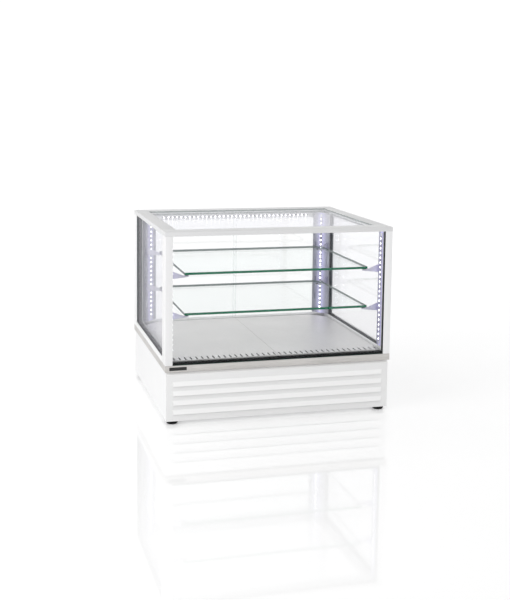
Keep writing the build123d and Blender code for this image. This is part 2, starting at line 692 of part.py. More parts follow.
def thermostat_button(index):
    dx, dz = button_places()[index]
    y0, y1 = BY + 1.0, BY + 5.5
    key = Pos(CTRL_X + dx, (y0 + y1) / 2, CTRL_Z + dz) * Box(BUTTON_W, y1 - y0, BUTTON_H)
    return fillet(key.edges().group_by(Axis.Y)[-1], 0.6)


ROCKER_AXIS_Y = -1.0                     # from the outer face of the rear panel
ROCKER_TILT = 8.0


def rocker_housing(x):
    """Snap-in frame with its terminals inside."""
    y = BY
    body = Pos(x, y - 13, CTRL_Z) * Box(ROCKER_W, 26, ROCKER_H)
    frame = Pos(x, y + 1, CTRL_Z) * Box(ROCKER_W + 4, 2, ROCKER_H + 4)
    frame = fillet(frame.edges().filter_by(Axis.Y), 1.5)
    well = Pos(x, y - 2, CTRL_Z) * Box(ROCKER_W - 4, 12, ROCKER_H - 3)
    pins = Pos(x, y - 29, CTRL_Z + 5) * Box(5, 8, 0.8) + Pos(x, y - 29, CTRL_Z - 5) * Box(5, 8, 0.8)
    return body + frame - well + pins


def rocker(x):
    """Rocker key resting in its off position; it turns about X."""
    plane = Plane((x - 7.0, 0, 0), x_dir=(0, 1, 0), z_dir=(1, 0, 0))
    y = BY
    points = [(y - 3.5, CTRL_Z - 5.0), (y + 2.6, CTRL_Z - 8.0), (y + 4.0, CTRL_Z - 8.0), (y + 2.9, CTRL_Z),
              (y + 4.0, CTRL_Z + 8.0), (y + 2.6, CTRL_Z + 8.0), (y - 3.5, CTRL_Z + 5.0)]
    key = extrude(plane * make_face(Polyline(*points, close=True)), 14.0)
    return key.rotate(Axis((x, y + ROCKER_AXIS_Y, CTRL_Z), (1, 0, 0)), ROCKER_TILT)


def cable_gland():
    """Low gland in the rear panel: domed flange outside, nut inside, open bore for the cord."""
    y = BY
    flange = rod_y(GLAND_X, GLAND_Z, y, y + 5, 12)
    flange = fillet(flange.edges().group_by(Axis.Y)[-1], 3)
    nut = Pos(GLAND_X, y - SHEET - 2.5, GLAND_Z) * Rot(90, 0, 0) * extrude(RegularPolygon(12, 6), 2.5, both=True)
    sleeve = rod_y(GLAND_X, GLAND_Z, y - 12, y, GLAND_R)
    return flange + nut + sleeve - rod_y(GLAND_X, GLAND_Z, y - 20, y + 20, CORD_R)


# ---------------- write the nodes ----------------

def save_pair(name, right):
    save(f"{name}_right", right)
    save(f"{name}_left", mirror_x(right))


def main():
    os.makedirs("parts", exist_ok=True)
    save("base_pan", base_pan())
    save_pair("side_panel", side_panel_with_holes())
    save("front_louvre_panel", front_louvre_panel())
    save("rear_panel", rear_panel())
    save("feet", *[foot(x, y) for x, y in foot_places()])
    save("foot_studs", *[foot_stud(x, y) for x, y in foot_places()])
    save("panel_screws", *[panel_screw(x, z) for x, z in rear_screw_places()])
    save("worktop_band", worktop_band())
    save("nameplate", nameplate())
    save("deck_plate_right", deck_plate(1))
    save("deck_plate_left", deck_plate(-1))
    save_pair("post_front", front_post())
    save_pair("post_rear", rear_post())
    save("bottom_rails", bottom_rail(), mirror_x(bottom_rail()))
    front, rear, right = top_rails()
    save("top_rail_front", front)
    save("top_rail_rear", rear)
    save_pair("top_rail", right)
    for name, piece in zip(("outer", "inner", "spacer"), front_unit()):
        save(f"front_glass_{name}", piece)
    for name, piece in zip(("outer", "inner", "spacer"), side_unit()):
        save(f"side_glass_{name}", piece, mirror_x(piece))
    for name, piece in zip(("outer", "inner", "spacer"), top_unit()):
        save(f"top_glass_{name}", piece)
    save("door_track_bottom", door_track(BAND_TOP, BAND_TOP + TRACK_BOTTOM_H, BAND_TOP + 3, HEIGHT))
    save("door_track_top", door_track(RAIL_Z - TRACK_TOP_H, RAIL_Z, 0, RAIL_Z - 2))
    for name, side in (("right", 1), ("left", -1)):
        save(f"sliding_door_{name}", sliding_door(side))
        save(f"door_pull_{name}", door_pull(side))
    save_pair("rack_front", front_rack())
    save_pair("rack_rear", rear_rack())
    save("led_strips", *led_strips())
    save("shelf_brackets", *on_brackets(bracket))
    save("bracket_pads", *on_brackets(bracket_pad))
    save("glass_shelf_lower", glass_shelf(SHELF_Z[0]))
    save("glass_shelf_upper", glass_shelf(SHELF_Z[1]))
    save("air_plenum_tray", *air_plenum_tray())
    save("heating_element", heating_element())
    save("fan_housing", fan_housing())
    save("fan_rotor", fan_rotor())
    save("safety_thermostat", safety_thermostat())
    save("led_driver", led_driver())
    save("terminal_block", terminal_block())
    save("thermostat_controller", thermostat_controller())
    for i in range(3):
        save(f"thermostat_button_{i + 1}", thermostat_button(i))
    save("rocker_housings", *[rocker_housing(x) for x in ROCKER_X.values()])
    for name, x in ROCKER_X.items():
        save(f"rocker_{name}", rocker(x))
    save("cable_gland", cable_gland())


main()
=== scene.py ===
import json
import math

import bmesh
import bpy
from mathutils import Matrix, Vector


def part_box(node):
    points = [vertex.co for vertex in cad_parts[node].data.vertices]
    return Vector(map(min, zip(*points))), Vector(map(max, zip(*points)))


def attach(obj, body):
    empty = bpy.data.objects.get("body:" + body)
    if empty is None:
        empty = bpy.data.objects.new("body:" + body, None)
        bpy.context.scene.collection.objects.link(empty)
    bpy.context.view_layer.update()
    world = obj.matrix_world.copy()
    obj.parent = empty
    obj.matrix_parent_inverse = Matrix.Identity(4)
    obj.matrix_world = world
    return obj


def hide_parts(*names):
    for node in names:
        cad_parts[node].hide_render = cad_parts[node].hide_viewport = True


# Looks of a counter-top heated display case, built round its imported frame.
# Metres. X to the right, Y to the back, Z up. The front faces -Y.

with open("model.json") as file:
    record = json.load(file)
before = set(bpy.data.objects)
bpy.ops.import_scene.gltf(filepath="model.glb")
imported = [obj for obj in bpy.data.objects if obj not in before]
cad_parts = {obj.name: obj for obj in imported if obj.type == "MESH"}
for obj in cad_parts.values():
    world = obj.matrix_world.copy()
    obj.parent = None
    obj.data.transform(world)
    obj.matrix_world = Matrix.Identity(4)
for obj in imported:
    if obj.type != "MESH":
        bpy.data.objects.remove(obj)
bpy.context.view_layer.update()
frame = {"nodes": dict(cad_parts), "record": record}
NODES = frame["nodes"]
X, Y, Z = 0, 1, 2
SAME_POINT = 0.000005                    # corners closer than this are one corner


# ---------------- places of the light strips ----------------

def strip_boxes():
    """Low and high corners of each loose bar in the light strips' node."""
    bm = bmesh.new()
    bm.from_mesh(NODES["led_strips"].data)
    bmesh.ops.remove_doubles(bm, verts=bm.verts, dist=SAME_POINT)
    left = set(bm.verts)
    boxes = []
    while left:
        bar, reached = set(), [left.pop()]
        while reached:
            vert = reached.pop()
            bar.add(vert)
            beside = {e.other_vert(vert) for e in vert.link_edges} & left
            left -= beside
            reached += beside
        points = [v.co for v in bar]
        boxes.append((Vector([min(p[i] for p in points) for i in (X, Y, Z)]),
                      Vector([max(p[i] for p in points) for i in (X, Y, Z)])))
    bm.free()
    return boxes


def is_upright(bar):
    """Whether a bar stands, rather than lies along X."""
    low, high = bar
    return high.z - low.z > high.x - low.x


def strip_order(bar):
    """The bar under the top rail first, then the uprights from left to right and front to back."""
    low, high = bar
    return is_upright(bar), low.x + high.x > 0, low.y + high.y > 0


# The bars are found in an order that can change from run to run, and their numbers name pieces.
STRIPS = sorted(strip_boxes(), key=strip_order)
UPRIGHTS = [bar for bar in STRIPS if is_upright(bar)]


# ---------------- shader building ----------------

class Value:
    """A socket of a material's node tree that takes part in sums."""

    def __init__(self, shade, socket):
        self.shade, self.socket = shade, socket

    def math(self, operation, *others, clamp=False):
        settings = {"operation": operation, "use_clamp": clamp}
        return self.shade.node("Math", settings, enumerate((self, *others)))

    def __add__(self, other):
        return self.math("ADD", other)

    __radd__ = __add__

    def __mul__(self, other):
        return self.math("MULTIPLY", other)

    __rmul__ = __mul__

    def __sub__(self, other):
        return self.math("SUBTRACT", other)

    def __rsub__(self, other):
        return (self * -1.0).math("ADD", other)

    def __pow__(self, power):
        return self.math("POWER", power)

    def above(self, limit):
        return self.math("GREATER_THAN", limit)

    def clamped(self):
        return self.math("ADD", 0.0, clamp=True)


class Shade:
    """A material under construction: one Principled surface and the nodes that feed it."""

    def __init__(self, name, **constants):
        self.material = bpy.data.materials.new(name)
        self.material.use_nodes = True
        self.tree = self.material.node_tree
        self.tree.nodes.clear()
        self.surface = self.tree.nodes.new("ShaderNodeBsdfPrincipled")
        out = self.tree.nodes.new("ShaderNodeOutputMaterial")
        self.tree.links.new(self.surface.outputs[0], out.inputs[0])
        for socket, value in constants.items():
            self.surface.inputs[socket.replace("_", " ")].default_value = value

    def feed(self, socket, value):
        if isinstance(value, Value):
            self.tree.links.new(value.socket, socket)
        else:
            socket.default_value = value

    def node(self, kind, settings=(), inputs=(), output=0):
        """Any node: its settings are made first, then its sockets are given values or links."""
        node = self.tree.nodes.new("ShaderNode" + kind)
        for name, value in dict(settings).items():
            if name == "stops":
                set_stops(node.color_ramp, value)
            else:
                setattr(node, name, value)
        for name, value in dict(inputs).items():
            self.feed(node.inputs[name], value)
        return Value(self, node.outputs[output])

    def set(self, name, value):
        self.feed(self.surface.inputs[name], value)

    def place(self, scale=(1.0, 1.0, 1.0)):
        """Object coordinates in metres, stretched by scale."""
        point = self.node("TexCoord", output="Object")
        return self.node("Mapping", inputs={"Vector": point, "Scale": scale})

    def noise(self, scale, detail=3.0, stretch=(1.0, 1.0, 1.0), roughness=0.5):
        return self.node("TexNoise", inputs={
            "Vector": self.place(stretch), "Scale": scale, "Detail": detail, "Roughness": roughness})

    def ramp(self, value, *stops):
        return self.node("ValToRGB", {"stops": stops}, {"Fac": value})

    def mix(self, factor, a, b):
        """Colour a where the factor is 0 and b where it is 1."""
        return self.node("Mix", {"data_type": "RGBA"}, {0: factor, 6: a, 7: b}, 2)

    def bump(self, height, distance, strength=1.0):
        self.set("Normal", self.node("Bump", inputs={
            "Height": height, "Distance": distance, "Strength": strength}))

    def part(self, vector, axis):
        return self.node("SeparateXYZ", inputs={"Vector": vector}, output=axis)

    def orange_peel(self):
        """Fine dimples that sprayed powder leaves as it melts and levels."""
        peel = self.noise(750.0, 2.0)
        self.set("Roughness", peel * 0.10 + 0.30)
        self.bump(peel, 0.00006, 0.35)


def set_stops(ramp, stops):
    """Gives a colour ramp its stops, each a position and a colour."""
    while len(ramp.elements) < len(stops):
        ramp.elements.new(1.0)
    for element, (position, colour) in zip(ramp.elements, stops):
        element.position, element.color = position, colour


def grey(value):
    return (value, value, value, 1.0)


def tinted(r, g, b):
    return (r, g, b, 1.0)


# ---------------- finishes ----------------

def powder_coat(name, tone, warmth=1.0):
    """Sprayed powder: an even colour with a faint orange peel and slight drift."""
    shade = Shade(name, Specular_IOR_Level=0.45)
    drift = shade.noise(5.0, 2.0)
    low = (tone * 0.975 * warmth, tone * 0.975, tone * 0.98, 1.0)
    high = (tone * warmth, tone, tone * 1.005, 1.0)
    shade.set("Base Color", shade.ramp(drift, (0.3, low), (0.7, high)))
    shade.orange_peel()
    return shade.material


def front_panel_coat(name, painted_shade_tone, painted_highlight_tone):
    """Powder coat of the louvred panel: a painted highlight on the upward-facing pressed slopes and
    painted shade on the flats behind them.
    """
    shade = Shade(name, Specular_IOR_Level=0.45)
    drift = shade.noise(5.0, 2.0)
    upward = shade.part(shade.node("TexCoord", output="Normal"), Z)
    # painted light: faces tilted upwards take the bright tone as a painted highlight, the flats take the
    # darker tone as painted shade
    painted_highlight_mask = shade.ramp(upward, (0.10, grey(0.0)), (0.22, grey(1.0)))
    painted_shade_flats = shade.ramp(drift, (0.3, grey(painted_shade_tone * 0.98)), (0.7, grey(painted_shade_tone)))
    shade.set("Base Color", shade.mix(painted_highlight_mask, painted_shade_flats, grey(painted_highlight_tone)))
    shade.orange_peel()
    return shade.material


def brushed(name, dark, light, along, rough=0.30, metal=1.0, warm=1.0):
    """Brushed stainless: long fine scratches along one axis, with broad soft cloudiness."""
    shade = Shade(name)
    stretch = tuple(0.02 if axis == along else 1.0 for axis in (X, Y, Z))
    lines = shade.noise(1500.0, 4.0, stretch, 0.65)
    cloud = shade.noise(7.0, 2.0)
    mixed = lines * 0.7 + cloud * 0.3
    colours = [(v * warm, v, v * (2 - warm), 1.0) for v in (dark, light)]
    shade.set("Base Color", shade.ramp(mixed, (0.35, colours[0]), (0.68, colours[1])))
    shade.set("Roughness", lines * 0.18 + rough)
    shade.set("Metallic", metal)
    shade.bump(lines, 0.00003, 0.4)
    return shade.material


def moulded(name, colour, rough=0.45, grain=420.0, depth=0.00005, gloss=0.4):
    """Moulded plastic or rubber with a fine spark-eroded grain."""
    shade = Shade(name, Specular_IOR_Level=gloss)
    grains = shade.noise(grain, 3.0)
    drift = shade.noise(30.0, 2.0)
    darker = tuple(c * 0.86 for c in colour[:3]) + (1.0,)
    shade.set("Base Color", shade.ramp(drift, (0.35, darker), (0.65, colour)))
    shade.set("Roughness", grains * 0.2 + rough - 0.1)
    shade.bump(grains, depth, 0.5)
    return shade.material


def anodised(name, tone):
    """Extruded, satin-anodised aluminium with faint draw lines along X."""
    shade = Shade(name, Metallic=1.0)
    lines = shade.noise(900.0, 3.0, (0.01, 1.0, 1.0))
    shade.set("Base Color", shade.ramp(lines, (0.3, grey(tone * 0.92)), (0.7, grey(tone))))
    shade.set("Roughness", lines * 0.12 + 0.26)
    shade.bump(lines, 0.00002, 0.3)
    return shade.material


def glass(name, flat_axis, clear, edge, edge_alpha, film, polished=None):
    """Pane whose large faces look along flat_axis and mirror more as the view slants.

    film is how much of a face shows when it is seen squarely, and polished is the place
    along Y that the front edge lies before, with that edge's colour."""
    shade = Shade(name, Specular_IOR_Level=0.25)
    normal = shade.node("TexCoord", output="Normal")
    is_face = shade.part(normal, flat_axis).math("ABSOLUTE").above(0.7)
    facing = shade.node("LayerWeight", inputs={"Blend": 0.5}, output="Facing")
    smear = shade.ramp(shade.noise(14.0, 3.0), (0.45, grey(0.0)), (0.8, grey(1.0)))
    if polished:
        point = shade.node("TexCoord", output="Object")
        front_y, front_colour = polished
        front = shade.part(point, Y).math("LESS_THAN", front_y)
        edge = shade.mix(front, edge, front_colour)
    shade.set("Base Color", shade.mix(is_face, edge, clear))
    shade.set("Metallic", is_face)
    shade.set("Roughness", is_face * -0.16 + smear * 0.03 + 0.18)
    through = (facing ** 5.0) * 0.30 + film + smear * 0.008
    shade.set("Alpha", (is_face * through + (1.0 - is_face) * edge_alpha).clamped())
    return shade.material


MARK_OFF_AXIS = 0.0045                   # bar above the rocker's axis, ring below it
MARK_LINE = 0.0004                       # half the width of the bar's and the ring's line
MARK_REACH = 0.0018                      # half the bar's length, and the ring's radius


def rocker_key(name, node):
    """Black rocker with a white bar above its axis and a ring below."""
    low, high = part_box(node)
    middle = (low + high) / 2
    shade = Shade(name, Specular_IOR_Level=0.4)
    point = shade.node("TexCoord", output="Object")
    across, up = shade.part(point, X) - middle.x, shade.part(point, Z) - middle.z
    bar = across.math("ABSOLUTE").math("LESS_THAN", MARK_LINE)
    bar = bar * (up - MARK_OFF_AXIS).math("ABSOLUTE").math("LESS_THAN", MARK_REACH)
    low_up = up + MARK_OFF_AXIS
    from_ring = (across * across + low_up * low_up) ** 0.5 - MARK_REACH
    ring = from_ring.math("ABSOLUTE").math("LESS_THAN", MARK_LINE)
    grains = shade.noise(420.0, 3.0)
    shade.set("Base Color", shade.mix((bar + ring).clamped(), grey(0.022), grey(0.7)))
    shade.set("Roughness", grains * 0.2 + 0.32)
    shade.bump(grains, 0.00005, 0.5)
    return shade.material


def glowing(name, colour, strength):
    """Light-emitting face with a faintly uneven brightness."""
    shade = Shade(name, Roughness=0.35, Emission_Strength=strength)
    speck = shade.noise(900.0, 2.0)
    dim = tuple(c * 0.8 for c in colour[:3]) + (1.0,)
    shade.set("Base Color", shade.ramp(speck, (0.3, dim), (0.7, colour)))
    shade.set("Emission Color", shade.ramp(speck, (0.2, dim), (0.6, colour)))
    return shade.material


def near_strips(shade, reach):
    """1 beside an upright light strip, falling to 0 at the given distance from it."""
    point = shade.node("TexCoord", output="Object")
    x, y = shade.part(point, X).math("ABSOLUTE"), shade.part(point, Y)
    nearest = None
    for low, high in UPRIGHTS:
        if low.x < 0:
            continue                     # the left side's strips mirror the right side's
        dx, dy = x - (low.x + high.x) / 2, y - (low.y + high.y) / 2
        away = (dx * dx + dy * dy) ** 0.5
        nearest = nearest.math("MINIMUM", away) if nearest else away
    return (1.0 - nearest * (1.0 / reach)).clamped()


def lit_steel(name, dark, light, painted_glow_colour, reach, strength):
    """Satin steel of the uprights with a painted glow: the cold light of the light strips laid on it as
    emission beside them.
    """
    shade = Shade(name, Emission_Strength=strength)
    lines = shade.noise(1300.0, 3.0, (1.0, 1.0, 0.02))
    cloud = shade.noise(9.0, 2.0, (1.0, 1.0, 0.5))
    mixed = lines * 0.6 + cloud * 0.4
    shade.set("Base Color", shade.ramp(mixed, (0.35, dark), (0.66, light)))
    shade.set("Roughness", lines * 0.2 + 0.3)
    shade.set("Metallic", 0.7)
    # painted glow: emission that fades with distance from the strips stands in for their light falling
    # on the steel
    painted_glow_mask = near_strips(shade, reach) ** 2.0
    shade.set("Emission Color", shade.mix(painted_glow_mask, grey(0.0), painted_glow_colour))
    shade.bump(lines, 0.00003, 0.4)
    return shade.material


SHELF_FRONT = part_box("glass_shelf_lower")[0].y
SHELF_GREEN = tinted(0.0, 0.130, 0.062)
SHELF_EDGE_DEPTH = 0.001                 # how far back from the shelf's front its green edge shows
PANE_EDGE = tinted(0.03, 0.15, 0.11)

FINISH = {
    "white": powder_coat("powder_coat_white", 0.90),
    "white_frame": powder_coat("powder_coat_frame", 0.88),
    # darker copy of the white powder coat on the top rails: partly a greyer paint, partly painted shade
    # for the dim light on their tops
    "top_rail_paint_and_shade": powder_coat("powder_coat_top_rails", 0.74, warmth=0.998),
    # the louvred panel's two tones are a painted highlight on its slopes and painted shade on its flats
    "grille": front_panel_coat("powder_coat_front_panel", painted_shade_tone=0.86, painted_highlight_tone=0.97),
    "band": brushed("stainless_band", 0.46, 0.66, along=X, rough=0.24, warm=1.03),
    "deck": brushed("stainless_deck", 0.80, 0.92, along=Y, rough=0.38, metal=0.6, warm=1.01),
    "tray": brushed("galvanised_tray", 0.12, 0.20, along=X, rough=0.5),
    "sheath": brushed("heat_tinted_sheath", 0.12, 0.26, along=X, rough=0.38, warm=1.08),
    "zinc": brushed("zinc_plated", 0.55, 0.70, along=Z),
    # the uprights' and brackets' cold blue tint and their glow beside the strips are painted light from
    # the strips
    "rack": lit_steel("satin_steel_upright", dark=tinted(0.18, 0.18, 0.21),
                      light=tinted(0.42, 0.42, 0.49), painted_glow_colour=tinted(0.60, 0.56, 1.0),
                      reach=0.034, strength=0.75),
    "bracket": lit_steel("satin_steel_bracket", dark=tinted(0.40, 0.40, 0.46),
                         light=tinted(0.62, 0.61, 0.70), painted_glow_colour=tinted(0.55, 0.50, 1.0),
                         reach=0.08, strength=0.22),
    "rubber": moulded("rubber_black", tinted(0.010, 0.010, 0.011), 0.75, grain=300.0, depth=0.0001,
                      gloss=0.2),
    "black": moulded("plastic_black", tinted(0.022, 0.022, 0.024), 0.42),
    "key": moulded("plastic_light_grey", tinted(0.62, 0.62, 0.63), 0.40),
    "white_plastic": moulded("plastic_white", tinted(0.80, 0.80, 0.78), 0.38),
    "spacer": moulded("spacer_black", tinted(0.005, 0.005, 0.006), 0.6, grain=600.0, depth=0.00002,
                      gloss=0.15),
    "tape": moulded("diode_tape", tinted(0.30, 0.30, 0.38), 0.35),
    "window": moulded("display_window", tinted(0.012, 0.004, 0.004), 0.12, grain=200.0, depth=0.00001),
    "plate": anodised("nameplate_dark", 0.05),
    "track": anodised("anodised_track", 0.82),
    "channel": anodised("light_channel", 0.85),
    "pane_y": glass("float_glass_front", Y, clear=tinted(0.80, 0.86, 0.87), edge=PANE_EDGE,
                    edge_alpha=0.9, film=0.010),
    "pane_x": glass("float_glass_side", X, clear=tinted(0.74, 0.74, 0.82), edge=PANE_EDGE,
                    edge_alpha=0.9, film=0.035),
    "pane_z": glass("float_glass_top", Z, clear=tinted(0.86, 0.86, 0.93),
                    edge=tinted(0.30, 0.36, 0.34), edge_alpha=0.8, film=0.05),
    "door": glass("float_glass_doors", Y, clear=tinted(0.74, 0.80, 0.81),
                  edge=tinted(0.50, 0.58, 0.58), edge_alpha=0.5, film=0.06),
    "shelf": glass("float_glass_shelf", Z, clear=tinted(0.80, 0.90, 0.88),
                   edge=tinted(0.09, 0.12, 0.115), edge_alpha=1.0, film=0.045,
                   polished=(SHELF_FRONT + SHELF_EDGE_DEPTH, SHELF_GREEN)),
    "power_key": rocker_key("rocker_power_marked", "rocker_power"),
    "light_key": rocker_key("rocker_light_marked", "rocker_light"),
    "diode": glowing("diode_white", tinted(0.95, 0.94, 1.0), 6.0),
    "digit": glowing("digit_red", tinted(1.0, 0.10, 0.05), 3.0),
}

NODE_FINISH = {
    "white": ("base_pan", "side_panel_left", "side_panel_right", "rear_panel"),
    "white_frame": ("post_front_left", "post_front_right", "post_rear_left", "post_rear_right",
                    "bottom_rails"),
    "top_rail_paint_and_shade": ("top_rail_front", "top_rail_rear", "top_rail_left", "top_rail_right"),
    "grille": ("front_louvre_panel",),
    "band": ("worktop_band",),
    "deck": ("deck_plate_left", "deck_plate_right"),
    "tray": ("air_plenum_tray", "fan_housing"),
    "rack": ("rack_front_left", "rack_front_right", "rack_rear_left", "rack_rear_right"),
    "bracket": ("shelf_brackets",),
    "sheath": ("heating_element",),
    "zinc": ("foot_studs", "panel_screws", "safety_thermostat"),
    "rubber": ("feet", "bracket_pads"),
    "black": ("thermostat_controller", "rocker_housings", "rocker_power", "rocker_light", "cable_gland"),
    "key": ("thermostat_button_1", "thermostat_button_2", "thermostat_button_3"),
    "white_plastic": ("terminal_block", "led_driver"),
    "spacer": ("front_glass_spacer", "side_glass_spacer"),
    "plate": ("nameplate",),
    "track": ("door_track_bottom", "door_track_top", "door_pull_left", "door_pull_right", "fan_rotor"),
    "pane_y": ("front_glass_outer", "front_glass_inner"),
    "pane_x": ("side_glass_outer", "side_glass_inner"),
    "pane_z": ("top_glass_outer", "top_glass_inner"),
    "door": ("sliding_door_left", "sliding_door_right"),
    "shelf": ("glass_shelf_lower", "glass_shelf_upper"),
    "channel": ("led_strips", "top_glass_spacer"),
}


def finish_nodes():
    """Gives every CAD node its finish."""
    for finish, names in NODE_FINISH.items():
        for name in names:
            mesh = NODES[name].data
            mesh.materials.clear()
            mesh.materials.append(FINISH[finish])


# ---------------- mesh helpers ----------------

def add_piece(name, bm, finish, body, smooth=None):
    """Closes a bmesh into an object at the origin that rides on a body."""
    mesh = bpy.data.meshes.new(name)
    bm.normal_update()
    bm.to_mesh(mesh)
    bm.free()
    mesh.materials.append(FINISH[finish])
    piece = bpy.data.objects.new(name, mesh)
    bpy.context.scene.collection.objects.link(piece)
    if smooth is not None:
        mesh.shade_smooth()
        mesh.set_sharp_from_angle(angle=math.radians(smooth))
    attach(piece, body)
    return piece


def bevel(bm, edges, width, segments=2):
    """Rounds edges to a width."""
    bmesh.ops.bevel(bm, geom=list(edges), offset=width, offset_type="OFFSET", segments=segments,
                    profile=0.5, affect="EDGES", material=-1, clamp_overlap=True)


def block(bm, low, high, width=0.0, segments=2):
    """Box between two corners, with rounded edges where a width is given."""
    low, high = Vector(low), Vector(high)
    made = bmesh.ops.create_cube(bm, size=1.0)
    scale = Matrix.Diagonal((*(high - low), 1.0))
    bmesh.ops.transform(bm, matrix=Matrix.Translation((low + high) / 2) @ scale, verts=made["verts"])
    if width:
        edges = dict.fromkeys(e for v in made["verts"] for e in v.link_edges)
        bevel(bm, edges, width, segments)


def body_of(node):
    """Moving body that a node belongs to."""
    bodies = frame["record"]["behaviour"]["bodies"]
    return next(body for body, nodes in bodies.items() if node in nodes)


FLAT_ANGLE = 0.5                         # degrees: faces nearer than this to one plane are joined
SMOOTH_ANGLE = 40                        # degrees: a rounded piece is shaded smooth up to this


def softened(node, finish, width, angle=35.0, segments=2):
    """Copy of a CAD node with its sharp edges rounded; it takes the node's place."""
    bm = bmesh.new()
    bm.from_mesh(NODES[node].data)
    bmesh.ops.remove_doubles(bm, verts=bm.verts, dist=SAME_POINT)
    bmesh.ops.dissolve_limit(bm, angle_limit=math.radians(FLAT_ANGLE), verts=bm.verts, edges=bm.edges,
                             use_dissolve_boundaries=False)
    sharp = [e for e in bm.edges if e.is_manifold and e.calc_face_angle() > math.radians(angle)]
    bevel(bm, sharp, width, segments)
    piece = add_piece(f"{node}_soft", bm, finish, body_of(node), SMOOTH_ANGLE)
    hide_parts(node)


# ---------------- pieces with rounded edges ----------------

POST_EDGE, RAIL_EDGE, TRACK_EDGE = 0.0007, 0.0005, 0.0003
PULL_EDGE, ROCKER_EDGE, BRACKET_EDGE = 0.0006, 0.0004, 0.0004
BAND_EDGE, PLATE_EDGE, CONTROLLER_EDGE = 0.0006, 0.0003, 0.0005
LOUVRE_EDGE, LOUVRE_ANGLE, LOUVRE_SEGMENTS = 0.0007, 10.0, 3


def soften_frame():
    """Rounds the bent, moulded and extruded edges that are near enough to the eye to show."""
    for side in ("left", "right"):
        softened(f"post_front_{side}", "white_frame", POST_EDGE)
        softened(f"post_rear_{side}", "white_frame", POST_EDGE)
        softened(f"top_rail_{side}", "top_rail_paint_and_shade", RAIL_EDGE)
        softened(f"door_pull_{side}", "track", PULL_EDGE)
    for key in ("power", "light"):
        softened(f"rocker_{key}", f"{key}_key", ROCKER_EDGE)
    for rail in ("top_rail_front", "top_rail_rear"):
        softened(rail, "top_rail_paint_and_shade", RAIL_EDGE)
    softened("bottom_rails", "white_frame", RAIL_EDGE)
    for track in ("door_track_bottom", "door_track_top"):
        softened(track, "track", TRACK_EDGE)
    softened("shelf_brackets", "bracket", BRACKET_EDGE)
    softened("worktop_band", "band", BAND_EDGE)
    softened("front_louvre_panel", "grille", LOUVRE_EDGE, LOUVRE_ANGLE, LOUVRE_SEGMENTS)
    softened("nameplate", "plate", PLATE_EDGE)
    softened("thermostat_controller", "black", CONTROLLER_EDGE)


# ---------------- light strips ----------------

DIODE_PITCH = 1.0 / 60.0
STRIP_MARGIN = 0.012                     # length of a strip that no diode's pitch fills
TAPE_W, TAPE_T, TAPE_EDGE = 0.0068, 0.0004, 0.0001
TAPE_PAST_DIODE = 0.008                  # tape beyond the middle of the first and last diode
CHIP_SIDE, CHIP_T, CHIP_LIFT = 0.0060, 0.0012, 0.0010
LENS_SIDE, LENS_T, LENS_LIFT = 0.0050, 0.0004, 0.0017
CORNER_SINK = 0.004                      # how far the corner rows stand back from a strip's rim


def slab(bm, place, size):
    """Sharp box of a size at a place, which may be turned."""
    made = bmesh.ops.create_cube(bm, size=1.0)
    bmesh.ops.transform(bm, matrix=place @ Matrix.Diagonal((*size, 1.0)), verts=made["verts"])


def diode_row(name, start, step, count, out, across):
    """Row of square diodes on a tape: start is the first, out points away from the strip."""
    tape, chips, lenses = bmesh.new(), bmesh.new(), bmesh.new()
    end = start + step * (count - 1)
    turn = out.to_track_quat("Z", "Y").to_matrix().to_4x4()
    along_an_axis = sum(abs(c) > 0.99 for c in out) == 1
    if along_an_axis:
        half = step.normalized() * TAPE_PAST_DIODE + across * (TAPE_W / 2)
        corners = start - half, end + half + out * TAPE_T
        low, high = (Vector([pick(pair) for pair in zip(*corners)]) for pick in (min, max))
        block(tape, low, high, TAPE_EDGE, 1)
    else:
        middle = (start + end) / 2 + out * (TAPE_T / 2)
        length = (end - start).length + 2 * TAPE_PAST_DIODE
        slab(tape, Matrix.Translation(middle) @ turn, (TAPE_W, length, TAPE_T))
        bevel(tape, tape.edges, TAPE_EDGE, 1)
    for i in range(count):
        centre = start + step * i
        chip_place = Matrix.Translation(centre + out * CHIP_LIFT) @ turn
        lens_place = Matrix.Translation(centre + out * LENS_LIFT) @ turn
        slab(chips, chip_place, (CHIP_SIDE, CHIP_SIDE, CHIP_T))
        slab(lenses, lens_place, (LENS_SIDE, LENS_SIDE, LENS_T))
    for piece in (add_piece(f"{name}_tape", tape, "tape", "cabinet"),
                  add_piece(f"{name}_chips", chips, "white_plastic", "cabinet"),
                  add_piece(f"{name}_diodes", lenses, "diode", "cabinet")):
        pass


def light_strips():
    """A row of diodes on each bar of the strips: along the rear top rail and up the corners."""
    for number, (low, high) in enumerate(STRIPS):
        size, middle = high - low, (low + high) / 2
        if not is_upright((low, high)):
            count = int((size.x - STRIP_MARGIN) / DIODE_PITCH)
            start = Vector((middle.x - DIODE_PITCH * (count - 1) / 2, low.y, middle.z))
            diode_row(f"light_top_{number}", start, Vector((DIODE_PITCH, 0, 0)), count,
                      Vector((0, -1, 0)), Vector((0, 0, 1)))
            continue
        count = int((size.z - STRIP_MARGIN) / DIODE_PITCH)
        base = low.z + (size.z - DIODE_PITCH * (count - 1)) / 2
        inward = -math.copysign(1.0, middle.x)
        if middle.y < 0:
            out, across = Vector((inward, 0, 0)), Vector((0, 1, 0))
            start = Vector((low.x if inward < 0 else high.x, middle.y, base))
        else:
            out = Vector((inward, -1, 0)).normalized()
            across = Vector((-inward, -1, 0)).normalized()
            reach = (size.x + size.y) / 2 / math.sqrt(2) - CORNER_SINK
            start = Vector((middle.x, middle.y, base)) + out * reach
        diode_row(f"light_upright_{number}", start, Vector((0, 0, DIODE_PITCH)), count, out, across)


# ---------------- temperature display ----------------

